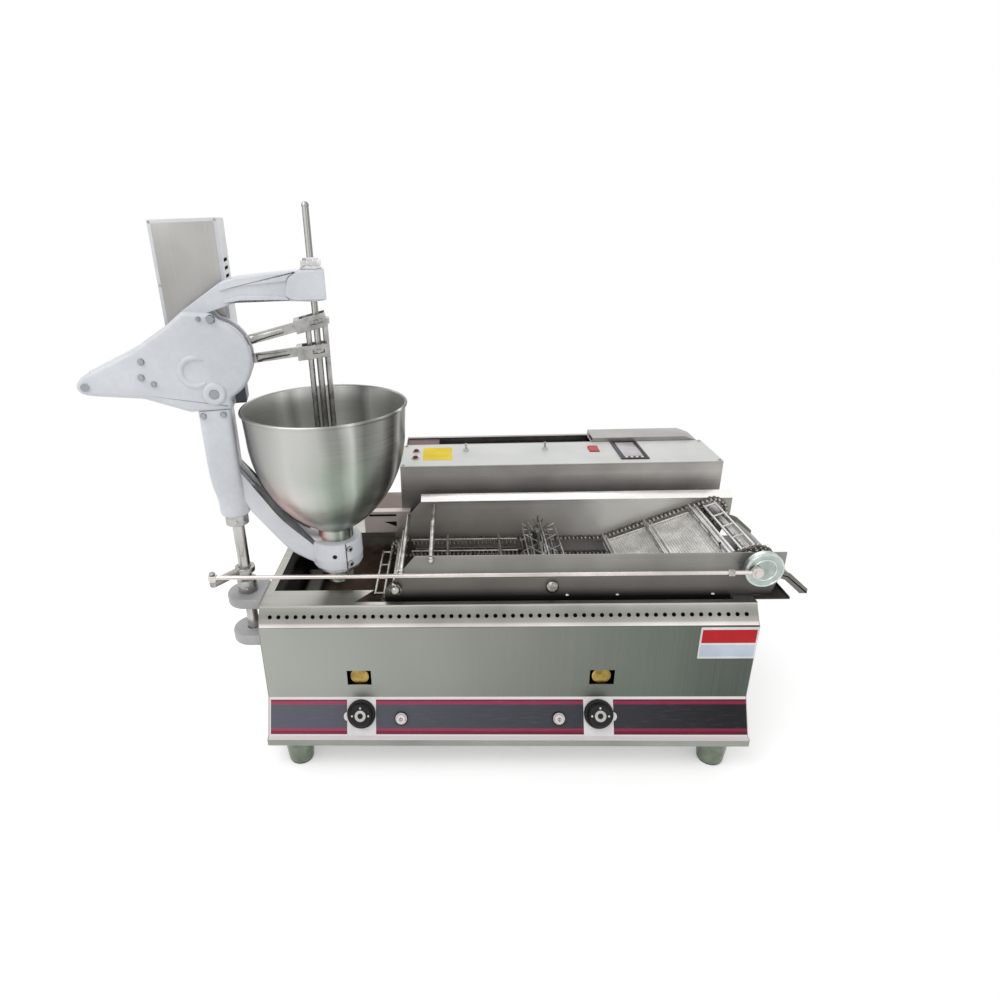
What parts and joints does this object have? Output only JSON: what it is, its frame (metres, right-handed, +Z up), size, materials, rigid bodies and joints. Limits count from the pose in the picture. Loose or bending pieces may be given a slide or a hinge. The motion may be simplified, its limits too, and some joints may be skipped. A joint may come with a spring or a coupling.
{
  "type": "donut fryer",
  "caption": "Table-top gas donut fryer: a swinging depositor hopper on a post, an oil tank with a chain conveyor, a flipper and an exit chute, and a control box behind.",
  "frame": {"origin": "middle of the bounding box in plan, at the floor", "axes": "+X along the conveyor towards the exit chute, +Y from the front panel to the back, +Z up"},
  "size_m": [1.1466, 0.573, 0.928],
  "materials": {
    "stainless": "brushed",
    "polished": "polished",
    "bright_steel": "bright",
    "cast_paint": "satin",
    "white_paint": "satin",
    "brass": "dull",
    "black_plastic": "matte",
    "white_plastic": "gloss",
    "red_plastic": "gloss",
    "panel_paint": "satin",
    "strip_paint": "satin",
    "dark_steel": "oiled",
    "motor_paint": "satin",
    "turned_alloy": "turned",
    "lamp_lens": "gloss"
  },
  "bodies": {
    "cabinet": {"feet": "stainless", "bottom_tray": "stainless", "left_panel": "stainless", "right_panel": "stainless", "rear_panel": "stainless", "front_panel": "stainless", "vent_rail": "stainless", "control_strip": "strip_paint", "oil_tank": "stainless", "burners": "brass", "gas_manifold": "dark_steel", "gas_valves": "brass", "igniter_bodies": "bright_steel", "control_box": "stainless", "control_panel": "panel_paint", "display_bezel": "black_plastic", "indicator_lamps": "lamp_lens", "flue": "stainless", "conveyor_motor": "motor_paint", "front_plate": "stainless", "rear_plate": "stainless", "tie_rods": "bright_steel", "chains": "dark_steel", "flights": "bright_steel", "incline_plate": "dark_steel", "exit_chute": "stainless", "upper_bracket": "cast_paint", "lower_bracket": "cast_paint"},
    "head": {"post": "bright_steel", "post_collars": "bright_steel", "swing_lever": "bright_steel", "head_column": "cast_paint", "head_frame": "cast_paint", "head_cover": "cast_paint", "cover_screws": "bright_steel", "pivot_pin": "bright_steel", "hopper": "polished", "nozzle": "polished", "head_gearmotor": "motor_paint", "motor_box": "white_paint", "motor_box_cover": "stainless"},
    "camshaft": {"camshaft": "bright_steel"},
    "upper_rocker": {"upper_rocker": "bright_steel"},
    "lower_rocker": {"lower_rocker": "bright_steel"},
    "cutter": {"cutter_plunger": "bright_steel"},
    "metering": {"metering_plunger": "bright_steel"},
    "centre_rod": {"centre_rod": "bright_steel"},
    "lock_knob": {"lock_knob": "dark_steel"},
    "connecting_rod": {"connecting_rod": "bright_steel"},
    "drive": {"drive_shaft": "bright_steel", "crank_disc": "turned_alloy"},
    "infeed": {"infeed_shaft": "bright_steel"},
    "flipper": {"flipper": "bright_steel"},
    "knob_left": {"gas_knob_left": "black_plastic"},
    "knob_right": {"gas_knob_right": "black_plastic"},
    "button_left": {"igniter_button_left": "white_plastic"},
    "button_right": {"igniter_button_right": "white_plastic"},
    "switch": {"power_switch": "red_plastic"},
    "toggle_left": {"toggle_left": "bright_steel"},
    "toggle_right": {"toggle_right": "bright_steel"}
  },
  "joints": [
    {"name": "conveyor_drive", "type": "hinge", "parent": "cabinet", "child": "drive", "pos_m": [0.48629, -0.09025, 0.36], "axis": [0, 1, 0], "continuous": true},
    {"name": "infeed_spin", "type": "hinge", "parent": "cabinet", "child": "infeed", "pos_m": [-0.12171, -0.09025, 0.289], "axis": [0, 1, 0], "continuous": true},
    {"name": "flipper_spin", "type": "hinge", "parent": "cabinet", "child": "flipper", "pos_m": [0.15029, -0.09025, 0.323], "axis": [0, 1, 0], "continuous": true},
    {"name": "head_swing", "type": "hinge", "parent": "cabinet", "child": "head", "pos_m": [-0.37771, -0.1785, 0.302], "axis": [0, 0, 1], "range_deg": [-4, 25]},
    {"name": "rod_pivot", "type": "hinge", "parent": "head", "child": "connecting_rod", "pos_m": [-0.41574, -0.23047, 0.36], "axis": [0, 0, 1], "range_deg": [-24.6, 4.2]},
    {"name": "camshaft_turn", "type": "hinge", "parent": "head", "child": "camshaft", "pos_m": [-0.37771, -0.1785, 0.665], "axis": [-0.2079, 0.9781, 0], "continuous": true},
    {"name": "upper_rocker_lift", "type": "hinge", "parent": "head", "child": "upper_rocker", "pos_m": [-0.55378, -0.21592, 0.688], "axis": [0.2079, -0.9781, 0], "range_deg": [0, 2.2]},
    {"name": "lower_rocker_lift", "type": "hinge", "parent": "head", "child": "lower_rocker", "pos_m": [-0.55378, -0.21592, 0.688], "axis": [0.2079, -0.9781, 0], "range_deg": [0, 3.4]},
    {"name": "cutter_slide", "type": "slide", "parent": "head", "child": "cutter", "axis": [0, 0, 1], "range_m": [0, 0.01407]},
    {"name": "metering_slide", "type": "slide", "parent": "head", "child": "metering", "axis": [0, 0, 1], "range_m": [0, 0.02073]},
    {"name": "centre_rod_slide", "type": "slide", "parent": "head", "child": "centre_rod", "axis": [0, 0, 1], "range_m": [-0.012, 0]},
    {"name": "lock_knob_turn", "type": "hinge", "parent": "head", "child": "lock_knob", "pos_m": [-0.21925, -0.14482, 0.836], "axis": [0, 0, 1], "range_deg": [0, 270]},
    {"name": "gas_knob_left_turn", "type": "hinge", "parent": "cabinet", "child": "knob_left", "pos_m": [-0.18071, -0.2614, 0.10145], "axis": [0, -0.8944, 0.4472], "range_deg": [0, 180]},
    {"name": "gas_knob_right_turn", "type": "hinge", "parent": "cabinet", "child": "knob_right", "pos_m": [0.23129, -0.2614, 0.10145], "axis": [0, -0.8944, 0.4472], "range_deg": [0, 180]},
    {"name": "igniter_left_press", "type": "slide", "parent": "cabinet", "child": "button_left", "axis": [0, 0.8944, -0.4472], "range_m": [0, 0.004], "stiffness_N_per_m": 400, "springref_m": -0.001},
    {"name": "igniter_right_press", "type": "slide", "parent": "cabinet", "child": "button_right", "axis": [0, 0.8944, -0.4472], "range_m": [0, 0.004], "stiffness_N_per_m": 400, "springref_m": -0.001},
    {"name": "power_switch_rock", "type": "hinge", "parent": "cabinet", "child": "switch", "pos_m": [0.28229, 0.1535, 0.44], "axis": [1, 0, 0], "range_deg": [-12, 0]},
    {"name": "toggle_left_flip", "type": "hinge", "parent": "cabinet", "child": "toggle_left", "pos_m": [0.01429, 0.1595, 0.4425], "axis": [1, 0, 0], "range_deg": [-12, 12]},
    {"name": "toggle_right_flip", "type": "hinge", "parent": "cabinet", "child": "toggle_right", "pos_m": [0.18129, 0.1595, 0.4425], "axis": [1, 0, 0], "range_deg": [-12, 12]}
  ],
  "couplings": [
    {"joint": "infeed_spin", "follows": "conveyor_drive", "ratio": 1.5294},
    {"joint": "flipper_spin", "follows": "conveyor_drive", "ratio": -0.2836},
    {"joint": "rod_pivot", "follows": "head_swing", "ratio": -0.97},
    {"joint": "cutter_slide", "follows": "upper_rocker_lift", "m_per_rad": 0.36128},
    {"joint": "metering_slide", "follows": "lower_rocker_lift", "m_per_rad": 0.34602}
  ]
}
